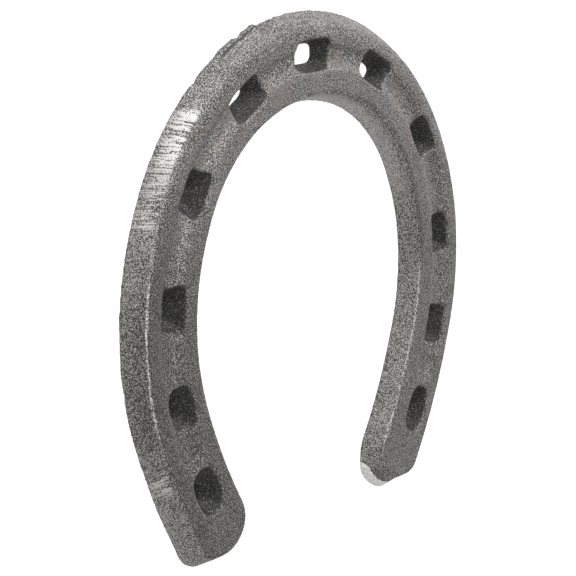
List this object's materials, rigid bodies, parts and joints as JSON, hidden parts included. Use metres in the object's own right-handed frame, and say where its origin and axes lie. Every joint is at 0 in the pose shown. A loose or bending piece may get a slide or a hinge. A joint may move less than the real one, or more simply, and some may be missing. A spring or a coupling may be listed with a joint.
{
  "type": "horseshoe",
  "caption": "Cast iron horseshoe with bevelled walls, a fuller groove and tapered nail holes; lies flat, hangs from a peg or is nailed up.",
  "frame": {"origin": "under the middle of the shoe: halfway across its width and its thickness, level with the heels' lowest point", "axes": "+Z from the heels to the toe; +Y out of the flat hoof side, so the grooved ground side looks along -Y; X = 0 is the mirror plane"},
  "size_m": [0.1258, 0.0064, 0.1296],
  "materials": {
    "cast_iron": "raw sand-cast iron, coarse grained, with a few filed bright patches"
  },
  "bodies": {
    "root": {"horseshoe": "cast_iron"}
  },
  "joints": []
}
